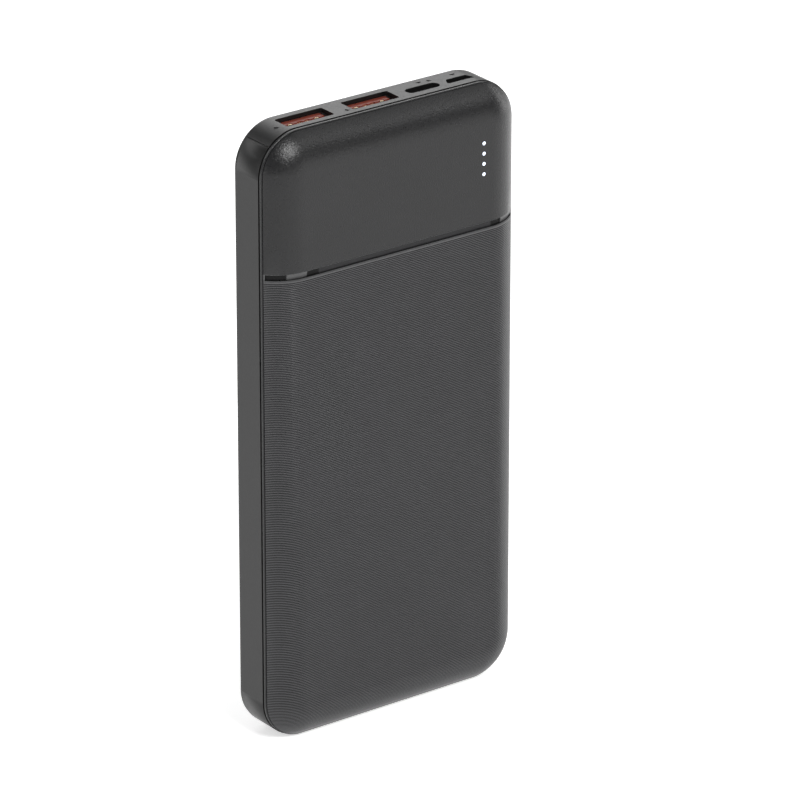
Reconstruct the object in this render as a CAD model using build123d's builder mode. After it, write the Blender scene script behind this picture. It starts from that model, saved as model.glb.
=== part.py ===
"""Slim power bank that stands on its short end: case, port panel, pouch cell, main board and sockets.

Millimetres. X is the width, Z the height, and the front faces -Y. The origin is at the middle of the base.
"""

from build123d import *
import os
from math import sqrt

os.makedirs("parts", exist_ok=True)

# ---------------------------------------------------------------- driving dimensions

WIDTH = 68.0
HEIGHT = 144.0
CORNER_R = 10.0            # outer corners, seen from the front
FRONT = 9.0                # half the thickness: the covers' flat faces are at Y = -9 and +9
BAND_HALF = 4.0            # the side frame and port panel reach from Y = -4 to +4
BAND_WALL = 2.0
COVER_WALL = 1.6
CLEARANCE = 0.15           # between parts that are pushed together by hand

# A cover's rim in section: insets from the case's outline, and depths from the mid plane.
DOME_R = 10.7              # radius of the cover's rounded shoulder
DOME_RUN = 8.75            # inset at which the shoulder meets the flat face
DOME_INSET = 0.45          # inset at which the shoulder starts
NECK_INSET = 0.9           # bottom of the two fine grooves beside the bead
BEAD_INSET = 0.25
BEAD_FROM = 4.33
BEAD_TO = 4.7
SKIRT_INSET = BAND_WALL + CLEARANCE
SKIRT_WALL = 1.0
SKIRT_DEPTH = 3.0
SKIRT_INNER = SKIRT_INSET + SKIRT_WALL

SEAM_GAP = 0.08            # parting line between the port panel and the side frame

# Snap hooks on the covers' skirts, and their pockets in the side frame.
HOOK_HEIGHTS = (32.0, 66.0, 100.0)
HOOK_LENGTH = 6.0
HOOK_TIP = 1.4             # depth the hook reaches to
BARB = (1.5, 1.9)          # depths of the barb
BARB_PROUD = 0.3
HOOK_ROOM = 0.1            # all round a barb in its pocket
POCKET_OPEN = 0.5          # the pockets start this far inside the wall's inner face
CELL_RIB_XS = (-18.0, 0.0, 18.0)
CELL_RIB_SIZE = (1.2, 6.0)         # X, Y

# Front cover details.
GROOVE_TOP = 112.5
GROOVE_HEIGHT = 1.25
GROOVE_DEPTH = 0.5
GROOVE_CUTTER = (-9.3, -4.9)       # Y limits of the cutter
MAIN_GROOVE = (-24.6, 28.0)
SIDE_GROOVE = (-33.3, -29.4)
BORDER_LINE_HEIGHT = 0.2
BORDER_LINE_DEPTH = 0.15
BORDER_LINE_GAP = 0.12
LAMP_X = 23.0
LAMP_TOP = 131.2
LAMP_PITCH = 2.4
LAMP_COUNT = 4
LAMP_R = 0.42
LAMP_CLEARANCE = 0.03
LED_SIZE = (1.6, 0.65, 0.8)        # X, Y, Z
LED_GAP = 0.1
LED_WINDOW = (1.9, 1.0)            # X, Z
GUIDE_WIDTH = 3.2
GUIDE_PLATE = 1.2
GUIDE_END = 1.4                    # past the first and last lamp

# Main board and its fixings.
BOARD_FRONT = -3.65
BOARD_BACK = -2.45
BOARD_HALF_WIDTH = 29.5
BOARD_BOTTOM = 114.0
BOARD_TOP = 140.5
BOARD_CORNER = 5.0
BOSS_POINTS = ((-26.0, 117.5), (26.0, 117.5), (-10.05, 131.5))
BOSS_R = 2.0
BOSS_BORE_R = 0.85
SCREW_R = 0.8
SCREW_CLEARANCE = 0.2
SCREW_HEAD_R = 1.6
SCREW_HEAD = 0.9
SCREW_LENGTH = 4.2
SCREW_CROSS = (1.8, 0.35, 0.45)    # length, width, depth
SOCKET_CUT_Y = (-4.0, -2.0)
SOCKET_CUT_GAP = 0.2

# Parts on the back of the main board: centre X and Z, then width in X, length in Z and height.
INDUCTOR = (7.5, 120.7, 10.2, 10.2, 4.0)
INDUCTOR_CORNER = 1.5
INDUCTOR_CHAMFER = 0.4
CONTROLLER = (-8.4, 120.0, 6.0, 6.0, 0.9)
TRANSISTORS = ((16.5, 118.2, 5.0, 6.0, 1.0), (16.5, 125.4, 5.0, 6.0, 1.0))
CERAMIC_POINTS = ((-14.0, 117.5), (-14.0, 122.5), (22.4, 122.5), (22.4, 126.5), (22.4, 130.5))
CERAMIC_SIZE = (1.6, 3.2, 1.4)
CAPACITOR_POINT = (-1.4, 120.0)
CAPACITOR_R = 3.15
CAPACITOR_HEIGHT = 5.8
CAPACITOR_EDGE = 0.5

# Sockets: centre X, and the opening in the port panel.
USB_A_XS = (-18.8, -1.3)
USB_A_OPENING = (12.5, 5.0)
USB_A_OPENING_CORNER = 0.5
USB_A_SHELL = (13.2, 5.8)
USB_A_SHELL_CORNERS = (0.7, 0.4)   # outside and inside
USB_A_REAR = 129.0
USB_A_MOUTH = 143.0
USB_A_TONGUE = (11.1, 1.84)
USB_A_TONGUE_Y = 1.33
USB_A_TONGUE_ROOT = 3.0            # height of the block behind the tongue
USB_A_ROOT_GAPS = (0.45, 0.1)      # X, Y
USB_A_CHANNEL = (1.2, 0.3)         # width and depth
USB_A_STRIP = (1.0, 0.3)           # width and thickness
USB_A_STRIPS = ((-3.5, 0.1), (-1.0, 0.25), (1.0, 0.25), (3.5, 0.1))   # X, and distance from the tongue's end
STRIP_START = 0.1                  # contact strips start this far past a tongue's root
SHEET = 0.3                # pressed steel of the socket shells
USB_C_X = 12.35
USB_C_Y = -0.7
USB_C_OPENING = (8.8, 2.9)
USB_C_SHELL = (8.94, 3.16)
USB_C_REAR = 135.3
USB_C_MOUTH = 142.7
USB_C_TONGUE = (6.69, 0.7)
USB_C_ROOT = 1.2
USB_C_ROOT_GAP = 0.05
USB_C_TONGUE_LENGTH = 4.6
USB_C_STRIPS = 12
USB_C_STRIP_PITCH = 0.5
USB_C_STRIP = (0.24, 0.08, 3.9)    # width, thickness and length
MICRO_X = 22.1
MICRO_Y = -0.8
MICRO_FRONT_WIDTH = 7.0
MICRO_BACK_WIDTH = 5.2
MICRO_HEIGHT = 2.3
MICRO_STEP = 0.3                   # share of the half height at which the sides start to slope
MICRO_CORNER = 0.35
MICRO_REAR = 137.0
MICRO_MOUTH = 142.7
MICRO_TONGUE = (3.7, 0.6)
MICRO_TONGUE_FROM = 0.1            # from the middle of the opening to the tongue's front
MICRO_TONGUE_TIP = 0.6             # below the mouth
MICRO_ROOT = 1.0
MICRO_ROOT_GAP = 0.05
MICRO_STRIPS = 5
MICRO_STRIP_PITCH = 0.65
MICRO_STRIP = (0.3, 0.1, 0.4)      # width, thickness, and distance from the tongue's end
POCKET_CLEARANCE = 0.1
POCKET_BELOW = 1.0                 # from the wall's inner face down to where the pockets start

# Arrowheads sunk into the port panel: X, Y, and 1 to point to the back or -1 to point to the front.
ARROWS = ((-27.0, -0.8, 1), (-9.0, -1.9, 1), (13.6, 2.2, -1), (16.0, 2.2, 1), (22.6, 1.9, -1))
ARROW_SIZE = (1.5, 1.1)            # X, Y
ARROW_DEPTH = 0.15

# Tongues on the port panel that locate it in the side frame, by angle round the corner's axis.
LOCATOR_HALF = 2.0                 # half their depth in Y
LOCATOR_ARC = (30, 50)
LOCATOR_ROOT_ARC = (48, 52)
LOCATOR_ROOT_BITE = 0.2

# Power button on the right side, and the switch behind it.
BUTTON_Z = 127.0
BUTTON_SIZE = (10.0, 3.0)          # Z, Y
BUTTON_CLEARANCE = 0.15
BUTTON_FACE = 33.95
BUTTON_EDGE = 0.3
BUTTON_FLANGE = (11.6, 4.6)        # Z, Y
BUTTON_FLANGE_CORNER = 1.2
BUTTON_FLANGE_FROM = 31.05
BUTTON_FLANGE_TO = 31.9
BUTTON_STEM_FROM = 30.3
BUTTON_STEM_R = 0.9
BUTTON_DISH = (14.0, 6.0, 0.5)     # Z, Y, depth
SWITCH_FROM = 25.8
SWITCH_TO = 29.2
SWITCH_TOP_Y = 1.05
SWITCH_LENGTH = 7.0
SWITCH_CAVITY_X = (26.9, 28.7)
SWITCH_CAVITY = (3.8, 2.8)         # Z, Y
SWITCH_WINDOW = (2.2, 1.5)         # Z, Y
PLUNGER_Y = -0.7
PLUNGER_TIP = 30.2
PLUNGER_FLANGE_X = (27.65, 28.45)
PLUNGER_FLANGE = (3.4, 2.4)        # Z, Y
PLUNGER_NECK = (1.9, 1.2)          # Z, Y
SNAP_DOME_FROM = 26.95
SNAP_DOME_STEPS = ((1.3, 0.1), (0.8, 0.15))    # radius and thickness

# Cell pack.
CELL_SIZE = (58.0, 12.0, 101.0)
CELL_BOTTOM = 5.0
CELL_CORNER = 4.0
CELL_ROUND = 2.4
TERRACE = (54.0, 0.6, 3.0)
TAB_XS = {"positive": -14.0, "negative": 14.0}
TAB_SIZE = (5.0, 0.2, 5.6)
TAB_RISE = 1.0                     # from the top of the cell to the tabs
PROTECTION_SIZE = (46.0, 1.0, 3.4)
PROTECTION_BOTTOM = 109.4
PROTECTION_CORNER = 0.6
CHIP_XS = (-6.0, 0.0, 6.0)
CHIP_SIZE = (3.0, 0.9, 2.8)
TAPE_HALF_WIDTH = 25.0
TAPE_THICKNESS = 0.1
TAPE_RISE = 0.5
TAPE_TOP = 112.8
LEAD_XS = {"red": -20.5, "black": -17.5}
LEAD_R = 0.6
LEAD_HEIGHTS = (110.2, 115.4, 119.0, 124.0)    # start, first bend, second bend, end
LEAD_BEND_R = 2.5
PAD_SIZE = (44.0, 84.0)
PAD_CORNER = 3.0

cell_top = CELL_BOTTOM + CELL_SIZE[2]
groove_bottom = GROOVE_TOP - GROOVE_HEIGHT
dome_axis = DOME_R - FRONT         # Y of the axis of the front cover's shoulder
flat_half = WIDTH / 2 - DOME_RUN   # half the width of the flat face


# ---------------------------------------------------------------- shared shapes

def at_depth(y):
    """Drawing plane at depth y, seen from the front: X to the right and Z up."""
    return Plane.XZ.offset(-y)


def outline(inset, y):
    """The case's rounded outline at depth y, shrunk by inset."""
    with BuildSketch(at_depth(y)) as face:
        with Locations((0, HEIGHT / 2)):
            RectangleRounded(WIDTH - 2 * inset, HEIGHT - 2 * inset, CORNER_R - inset)
    return face.sketch


def rim_path():
    """The case's outline as a closed path that starts half way up the left side."""
    across = WIDTH - 2 * CORNER_R
    up = HEIGHT - 2 * CORNER_R
    with BuildLine(at_depth(0)) as path:
        run = Line((-WIDTH / 2, HEIGHT / 2), (-WIDTH / 2, HEIGHT - CORNER_R))
        for length in (across, up, across, up / 2):
            turn = JernArc(start=run @ 1, tangent=run % 1, radius=CORNER_R, arc_size=-90)
            run = Line(turn @ 1, (turn @ 1) + (turn % 1) * length)
    return path.wires()[0]


def shoulder_y(inset, radius):
    """Y of the front cover's shoulder, or of a curve parallel to it, at an inset from the outline."""
    return dome_axis - sqrt(radius**2 - (DOME_RUN - inset) ** 2)


def cover_rim():
    """Section through a front cover's rim: skirt, two fine grooves with a bead between, and shoulder."""
    inner_r = DOME_R - COVER_WALL
    outer_start = (DOME_INSET, shoulder_y(DOME_INSET, DOME_R))
    outer_middle = (DOME_RUN / 2, shoulder_y(DOME_RUN / 2, DOME_R))
    outer_end = (DOME_RUN, -FRONT)
    inner_start = (DOME_RUN, -FRONT + COVER_WALL)
    inner_middle_inset = (DOME_RUN + SKIRT_INNER) / 2
    inner_middle = (inner_middle_inset, shoulder_y(inner_middle_inset, inner_r))
    inner_end = (SKIRT_INNER, shoulder_y(SKIRT_INNER, inner_r))
    left_middle = Plane(origin=(-WIDTH / 2, 0, HEIGHT / 2), x_dir=(1, 0, 0), z_dir=(0, 0, 1))
    with BuildSketch(left_middle) as section:
        with BuildLine():
            ThreePointArc(outer_start, outer_middle, outer_end)
            Line(outer_end, inner_start)
            ThreePointArc(inner_start, inner_middle, inner_end)
            Polyline(
                inner_end,
                (SKIRT_INNER, -SKIRT_DEPTH),
                (SKIRT_INSET, -SKIRT_DEPTH),
                (SKIRT_INSET, -BAND_HALF),
                (NECK_INSET, -BAND_HALF),
                (NECK_INSET, -BEAD_FROM),
                (BEAD_INSET, -BEAD_FROM),
                (BEAD_INSET, -BEAD_TO),
                (NECK_INSET, -BEAD_TO),
                (NECK_INSET, outer_start[1]),
                outer_start,
            )
        make_face()
    return section.sketch


def groove(left, right, bottom, depth):
    """Section of a cross groove whose floor stays at one depth below the flat face and the shoulders."""
    with BuildSketch(Plane.XY.offset(bottom)) as cut:
        with Locations(((left + right) / 2, sum(GROOVE_CUTTER) / 2)):
            Rectangle(right - left, GROOVE_CUTTER[1] - GROOVE_CUTTER[0])
        with Locations((0, dome_axis)):
            SlotCenterToCenter(2 * flat_half, 2 * (DOME_R - depth), mode=Mode.SUBTRACT)
    return cut.sketch


def port_panel_zone(margin):
    """Front view of the zone above the two 45 degree parting lines, grown by margin."""
    hub_x = WIDTH / 2 - CORNER_R + margin
    hub_z = HEIGHT - CORNER_R - margin
    reach = 2 * CORNER_R
    with BuildSketch(at_depth(BAND_HALF)) as zone:
        with BuildLine():
            Polyline(
                (-hub_x, hub_z),
                (hub_x, hub_z),
                (hub_x + reach, hub_z + reach),
                (-hub_x - reach, hub_z + reach),
                close=True,
            )
        make_face()
    return zone.sketch


def micro_outline(height, grow):
    """Micro-USB trapezoid at a height, wide side to the front, grown by a margin all round."""
    front = MICRO_FRONT_WIDTH / 2
    back = MICRO_BACK_WIDTH / 2
    half = MICRO_HEIGHT / 2
    with BuildSketch(Plane.XY.offset(height)) as shape:
        with BuildLine():
            Polyline(
                (MICRO_X - front, MICRO_Y - half),
                (MICRO_X + front, MICRO_Y - half),
                (MICRO_X + front, MICRO_Y - half * MICRO_STEP),
                (MICRO_X + back, MICRO_Y + half),
                (MICRO_X - back, MICRO_Y + half),
                (MICRO_X - front, MICRO_Y - half * MICRO_STEP),
                close=True,
            )
        make_face()
        fillet(shape.vertices(), MICRO_CORNER)
        if grow:
            offset(amount=grow)
    return shape.sketch


def block(x_range, y_range, z_range):
    """Face and height of a box given by its limits, for extrude."""
    with BuildSketch(Plane.XY.offset(z_range[0])) as base:
        with Locations(((x_range[0] + x_range[1]) / 2, (y_range[0] + y_range[1]) / 2)):
            Rectangle(x_range[1] - x_range[0], y_range[1] - y_range[0])
    return {"to_extrude": base.sketch, "amount": z_range[1] - z_range[0]}


def about(middle, size):
    """Limits of a length about its middle."""
    return (middle - size / 2, middle + size / 2)


def switch_block(x_range, size):
    """Box for extrude that is centred on the button's stem: limits in X, and its size in Z and Y."""
    return block(x_range, about(PLUNGER_Y, size[1]), about(BUTTON_Z, size[0]))


def board_block(x, z, width, length, height):
    """Box for extrude that stands on the back of the main board."""
    return block(about(x, width), (BOARD_BACK, BOARD_BACK + height), about(z, length))


def ring_sector(hub, outer_r, inner_r, arc, y):
    """Part of a ring about a hub in the front view, between two angles, at depth y."""
    with BuildSketch(at_depth(y)) as sector:
        with BuildLine():
            outer = CenterArc(hub, outer_r, arc[0], arc[1] - arc[0])
            inner = CenterArc(hub, inner_r, arc[0], arc[1] - arc[0])
            Line(outer @ 0, inner @ 0)
            Line(outer @ 1, inner @ 1)
        make_face()
    return sector.sketch


# ---------------------------------------------------------------- case

with BuildPart() as cover_shell:
    sweep(cover_rim(), path=rim_path())
    extrude(outline(DOME_RUN, -FRONT + COVER_WALL), amount=COVER_WALL)
    for side in (-1, 1):
        wall = WIDTH / 2 - SKIRT_INSET
        hook_x = sorted((side * wall, side * (wall - SKIRT_WALL)))
        barb_x = sorted((side * (wall + BARB_PROUD), side * (wall - SKIRT_WALL)))
        for height in HOOK_HEIGHTS:
            hook_z = about(height, HOOK_LENGTH)
            extrude(**block(hook_x, (-SKIRT_DEPTH, -HOOK_TIP), hook_z))
            extrude(**block(barb_x, (-BARB[1], -BARB[0]), hook_z))

with BuildPart() as front_cover:
    add(cover_shell.part)
    for left, right in (MAIN_GROOVE, SIDE_GROOVE):
        extrude(groove(left, right, groove_bottom, GROOVE_DEPTH), amount=GROOVE_HEIGHT, mode=Mode.SUBTRACT)
    border_bottom = groove_bottom - BORDER_LINE_GAP - BORDER_LINE_HEIGHT
    extrude(
        groove(-WIDTH / 2, WIDTH / 2, border_bottom, BORDER_LINE_DEPTH),
        amount=BORDER_LINE_HEIGHT,
        mode=Mode.SUBTRACT,
    )
    with BuildSketch(at_depth(BOARD_FRONT)) as bosses:
        with Locations(*BOSS_POINTS):
            Circle(BOSS_R)
            Circle(BOSS_BORE_R, mode=Mode.SUBTRACT)
    extrude(amount=BOARD_FRONT + FRONT - COVER_WALL)
    with BuildSketch(at_depth(-FRONT + COVER_WALL)) as lamp_holes:
        lamp_middle = LAMP_TOP - LAMP_PITCH * (LAMP_COUNT - 1) / 2
        with Locations((LAMP_X, lamp_middle)):
            with GridLocations(0, LAMP_PITCH, 1, LAMP_COUNT):
                Circle(LAMP_R + LAMP_CLEARANCE)
    extrude(amount=COVER_WALL, mode=Mode.SUBTRACT)
front_cover.part.label = "front_cover"
export_step(front_cover.part, "parts/front_cover.step")

with BuildPart() as back_cover:
    mirror(cover_shell.part, about=Plane.XZ)
back_cover.part.label = "back_cover"
export_step(back_cover.part, "parts/back_cover.step")

with BuildPart() as side_frame:
    extrude(outline(0, BAND_HALF), amount=2 * BAND_HALF)
    extrude(outline(BAND_WALL, BAND_HALF), amount=2 * BAND_HALF, mode=Mode.SUBTRACT)
    extrude(port_panel_zone(SEAM_GAP), amount=2 * BAND_HALF, mode=Mode.SUBTRACT)
    # Pockets for the covers' barbs, with room all round.
    for side in (-1, 1):
        inner = WIDTH / 2 - BAND_WALL
        pocket_x = sorted((side * (inner - POCKET_OPEN), side * (inner + BARB_PROUD)))
        for height in HOOK_HEIGHTS:
            pocket_z = about(height, HOOK_LENGTH + 2 * HOOK_ROOM)
            for front_or_back in (-1, 1):
                near = front_or_back * (BARB[0] - HOOK_ROOM)
                far = front_or_back * (BARB[1] + HOOK_ROOM)
                extrude(**block(pocket_x, sorted((near, far)), pocket_z), mode=Mode.SUBTRACT)
    # Ribs that the cell stands on.
    for rib_x in CELL_RIB_XS:
        rib_width, rib_depth = CELL_RIB_SIZE
        extrude(**block(about(rib_x, rib_width), about(0, rib_depth), (BAND_WALL, CELL_BOTTOM)))
    # Finger dish and slot for the power button.
    dish_z, dish_y, dish_depth = BUTTON_DISH
    with BuildSketch(Plane.YZ.offset(WIDTH / 2 - dish_depth)):
        with Locations(Location((0, BUTTON_Z), 90)):
            SlotOverall(dish_z, dish_y)
    extrude(amount=dish_depth, mode=Mode.SUBTRACT)
    with BuildSketch(Plane.YZ.offset(WIDTH / 2 - BAND_WALL)):
        with Locations(Location((0, BUTTON_Z), 90)):
            SlotOverall(BUTTON_SIZE[0] + 2 * BUTTON_CLEARANCE, BUTTON_SIZE[1] + 2 * BUTTON_CLEARANCE)
    extrude(amount=BAND_WALL, mode=Mode.SUBTRACT)
side_frame.part.label = "side_frame"
export_step(side_frame.part, "parts/side_frame.step")

with BuildPart() as arrow_marks:
    half_x = ARROW_SIZE[0] / 2
    for x, y, direction in ARROWS:
        half_y = direction * ARROW_SIZE[1] / 2
        with BuildSketch(Plane.XY.offset(HEIGHT - BAND_WALL)):
            with BuildLine():
                Polyline((x - half_x, y - half_y), (x + half_x, y - half_y), (x, y + half_y), close=True)
            make_face()
        extrude(amount=BAND_WALL)
    extrude(outline(ARROW_DEPTH, BAND_HALF), amount=2 * BAND_HALF, mode=Mode.SUBTRACT)

with BuildPart() as port_panel:
    extrude(outline(0, BAND_HALF), amount=2 * BAND_HALF)
    extrude(outline(BAND_WALL, BAND_HALF), amount=2 * BAND_HALF, mode=Mode.SUBTRACT)
    extrude(port_panel_zone(0), amount=2 * BAND_HALF, mode=Mode.INTERSECT)
    # Four mouths, each with a pocket behind it for the socket's shell.
    wall_bottom = HEIGHT - BAND_WALL
    pocket_bottom = wall_bottom - POCKET_BELOW
    for x in USB_A_XS:
        with BuildSketch(Plane.XY.offset(wall_bottom)):
            with Locations((x, 0)):
                RectangleRounded(*USB_A_OPENING, USB_A_OPENING_CORNER)
        extrude(amount=BAND_WALL, mode=Mode.SUBTRACT)
        with BuildSketch(Plane.XY.offset(pocket_bottom)):
            with Locations((x, 0)):
                Rectangle(USB_A_SHELL[0] + 2 * POCKET_CLEARANCE, USB_A_SHELL[1] + 2 * POCKET_CLEARANCE)
        extrude(amount=USB_A_MOUTH - pocket_bottom, mode=Mode.SUBTRACT)
    with BuildSketch(Plane.XY.offset(wall_bottom)):
        with Locations((USB_C_X, USB_C_Y)):
            SlotOverall(*USB_C_OPENING)
    extrude(amount=BAND_WALL, mode=Mode.SUBTRACT)
    with BuildSketch(Plane.XY.offset(pocket_bottom)):
        with Locations((USB_C_X, USB_C_Y)):
            SlotOverall(USB_C_SHELL[0] + 2 * POCKET_CLEARANCE, USB_C_SHELL[1] + 2 * POCKET_CLEARANCE)
    extrude(amount=USB_C_MOUTH - pocket_bottom, mode=Mode.SUBTRACT)
    extrude(micro_outline(wall_bottom, 0), amount=BAND_WALL, mode=Mode.SUBTRACT)
    micro_pocket = micro_outline(pocket_bottom, SHEET + POCKET_CLEARANCE)
    extrude(micro_pocket, amount=MICRO_MOUTH - pocket_bottom, mode=Mode.SUBTRACT)
    add(arrow_marks.part, mode=Mode.SUBTRACT)
    # Locating tongues that reach past the parting lines, inside the side frame.
    locator_r = CORNER_R - SKIRT_INSET
    locator_inner_r = CORNER_R - SKIRT_INNER
    root_r = CORNER_R - BAND_WALL + LOCATOR_ROOT_BITE
    for side in (-1, 1):
        hub = (side * (WIDTH / 2 - CORNER_R), HEIGHT - CORNER_R)
        for outer_r, arc in ((locator_r, LOCATOR_ARC), (root_r, LOCATOR_ROOT_ARC)):
            if side == -1:
                arc = (180 - arc[1], 180 - arc[0])
            extrude(ring_sector(hub, outer_r, locator_inner_r, arc, LOCATOR_HALF), amount=2 * LOCATOR_HALF)
port_panel.part.label = "port_panel"
export_step(port_panel.part, "parts/port_panel.step")

# ---------------------------------------------------------------- power button and switch

with BuildPart() as power_button:
    with BuildSketch(Plane.YZ.offset(BUTTON_FLANGE_TO)):
        with Locations(Location((0, BUTTON_Z), 90)):
            SlotOverall(*BUTTON_SIZE)
    extrude(amount=BUTTON_FACE - BUTTON_FLANGE_TO)
    fillet(power_button.faces().sort_by(Axis.X)[-1].edges(), BUTTON_EDGE)
    with BuildSketch(Plane.YZ.offset(BUTTON_FLANGE_FROM)):
        with Locations((0, BUTTON_Z)):
            RectangleRounded(BUTTON_FLANGE[1], BUTTON_FLANGE[0], BUTTON_FLANGE_CORNER)
    extrude(amount=BUTTON_FLANGE_TO - BUTTON_FLANGE_FROM)
    with BuildSketch(Plane.YZ.offset(BUTTON_STEM_FROM)):
        with Locations((PLUNGER_Y, BUTTON_Z)):
            Circle(BUTTON_STEM_R)
    extrude(amount=BUTTON_FLANGE_FROM - BUTTON_STEM_FROM)
power_button.part.label = "power_button"
export_step(power_button.part, "parts/power_button.step")

with BuildPart() as switch_body:
    body_z = about(BUTTON_Z, SWITCH_LENGTH)
    extrude(**block((SWITCH_FROM, SWITCH_TO), (BOARD_BACK, SWITCH_TOP_Y), body_z))
    extrude(**switch_block(SWITCH_CAVITY_X, SWITCH_CAVITY), mode=Mode.SUBTRACT)
    extrude(**switch_block((SWITCH_CAVITY_X[1], SWITCH_TO), SWITCH_WINDOW), mode=Mode.SUBTRACT)
switch_body.part.label = "switch_body"
export_step(switch_body.part, "parts/switch_body.step")

with BuildPart() as switch_plunger:
    extrude(**switch_block(PLUNGER_FLANGE_X, PLUNGER_FLANGE))
    extrude(**switch_block((PLUNGER_FLANGE_X[1], PLUNGER_TIP), PLUNGER_NECK))
switch_plunger.part.label = "switch_plunger"
export_step(switch_plunger.part, "parts/switch_plunger.step")

with BuildPart() as switch_dome:
    step_x = SNAP_DOME_FROM
    for radius, thickness in SNAP_DOME_STEPS:
        with BuildSketch(Plane.YZ.offset(step_x)):
            with Locations((PLUNGER_Y, BUTTON_Z)):
                Circle(radius)
        extrude(amount=thickness)
        step_x += thickness
switch_dome.part.label = "switch_dome"
export_step(switch_dome.part, "parts/switch_dome.step")

# ---------------------------------------------------------------- cell pack

with BuildPart() as battery_cell:
    extrude(**block(about(0, CELL_SIZE[0]), about(0, CELL_SIZE[1]), (CELL_BOTTOM, cell_top)))
    fillet(battery_cell.edges().filter_by(Axis.Y), CELL_CORNER)
    faces = battery_cell.faces().sort_by(Axis.Y)
    fillet(faces[0].edges() + faces[-1].edges(), CELL_ROUND)
    terrace_x = about(0, TERRACE[0] - 2 * CELL_CORNER)
    extrude(**block(terrace_x, about(0, TERRACE[1]), (cell_top, cell_top + TERRACE[2])))
battery_cell.part.label = "battery_cell"
export_step(battery_cell.part, "parts/battery_cell.step")

tab_front = -TERRACE[1] / 2 - TAB_SIZE[1]
tab_bottom = cell_top + TAB_RISE
for pole, x in TAB_XS.items():
    with BuildPart() as tab:
        tab_z = (tab_bottom, tab_bottom + TAB_SIZE[2])
        extrude(**block(about(x, TAB_SIZE[0]), (tab_front, -TERRACE[1] / 2), tab_z))
    tab.part.label = f"{pole}_tab"
    export_step(tab.part, f"parts/{pole}_tab.step")

board_y = (-TERRACE[1] / 2, -TERRACE[1] / 2 + PROTECTION_SIZE[1])
with BuildPart() as protection_board:
    board_z = (PROTECTION_BOTTOM, PROTECTION_BOTTOM + PROTECTION_SIZE[2])
    extrude(**block(about(0, PROTECTION_SIZE[0]), board_y, board_z))
    fillet(protection_board.edges().filter_by(Axis.Y), PROTECTION_CORNER)
protection_board.part.label = "protection_board"
export_step(protection_board.part, "parts/protection_board.step")

with BuildPart() as protection_chips:
    for x in CHIP_XS:
        chip_z = about(PROTECTION_BOTTOM + PROTECTION_SIZE[2] / 2, CHIP_SIZE[2])
        extrude(**block(about(x, CHIP_SIZE[0]), (board_y[1], board_y[1] + CHIP_SIZE[1]), chip_z))
protection_chips.part.label = "protection_chips"
export_step(protection_chips.part, "parts/protection_chips.step")

with BuildPart() as insulating_tape:
    tape_z = (cell_top + TAPE_RISE, TAPE_TOP)
    extrude(**block(about(0, 2 * TAPE_HALF_WIDTH), (tab_front - TAPE_THICKNESS, tab_front), tape_z))
insulating_tape.part.label = "insulating_tape"
export_step(insulating_tape.part, "parts/insulating_tape.step")

lead_start_y = board_y[1] + LEAD_R
lead_end_y = BOARD_BACK + LEAD_R
for colour, x in LEAD_XS.items():
    start_z, first_z, second_z, end_z = LEAD_HEIGHTS
    with BuildPart() as lead:
        with BuildLine() as route:
            FilletPolyline(
                (x, lead_start_y, start_z),
                (x, lead_start_y, first_z),
                (x, lead_end_y, second_z),
                (x, lead_end_y, end_z),
                radius=LEAD_BEND_R,
            )
        with BuildSketch(Plane.XY.offset(start_z)):
            with Locations((x, lead_start_y)):
                Circle(LEAD_R)
        sweep(path=route.wires()[0])
    lead.part.label = f"{colour}_lead"
    export_step(lead.part, f"parts/{colour}_lead.step")

pad_thickness = FRONT - COVER_WALL - CELL_SIZE[1] / 2
for name, y in (("front_pad", -CELL_SIZE[1] / 2), ("back_pad", CELL_SIZE[1] / 2 + pad_thickness)):
    with BuildPart() as pad:
        with BuildSketch(at_depth(y)):
            with Locations((0, CELL_BOTTOM + CELL_SIZE[2] / 2)):
                RectangleRounded(*PAD_SIZE, PAD_CORNER)
        extrude(amount=pad_thickness)
    pad.part.label = name
    export_step(pad.part, f"parts/{name}.step")

# ---------------------------------------------------------------- main board

with BuildPart() as main_board:
    with BuildSketch(at_depth(BOARD_BACK)) as board_face:
        with Locations((0, (BOARD_BOTTOM + BOARD_TOP) / 2)):
            Rectangle(2 * BOARD_HALF_WIDTH, BOARD_TOP - BOARD_BOTTOM)
        fillet(board_face.vertices().group_by(Axis.Y)[-1], BOARD_CORNER)
        with Locations(*BOSS_POINTS):
            Circle(SCREW_R + SCREW_CLEARANCE, mode=Mode.SUBTRACT)
    extrude(amount=BOARD_BACK - BOARD_FRONT)
    # Cut-outs that the USB-A sockets sink into.
    for x in USB_A_XS:
        cut_x = about(x, USB_A_SHELL[0] + 2 * POCKET_CLEARANCE)
        extrude(**block(cut_x, SOCKET_CUT_Y, (USB_A_REAR - SOCKET_CUT_GAP, HEIGHT)), mode=Mode.SUBTRACT)
main_board.part.label = "main_board"
export_step(main_board.part, "parts/main_board.step")

with BuildPart() as board_screws:
    cross_length, cross_width, cross_depth = SCREW_CROSS
    with BuildSketch(at_depth(BOARD_BACK)):
        with Locations(*BOSS_POINTS):
            Circle(SCREW_R)
    extrude(amount=SCREW_LENGTH)
    with BuildSketch(at_depth(BOARD_BACK + SCREW_HEAD)):
        with Locations(*BOSS_POINTS):
            Circle(SCREW_HEAD_R)
    extrude(amount=SCREW_HEAD)
    with BuildSketch(at_depth(BOARD_BACK + SCREW_HEAD)):
        with Locations(*BOSS_POINTS):
            Rectangle(cross_length, cross_width)
            Rectangle(cross_width, cross_length)
    extrude(amount=cross_depth, mode=Mode.SUBTRACT)
board_screws.part.label = "board_screws"
export_step(board_screws.part, "parts/board_screws.step")

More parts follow.
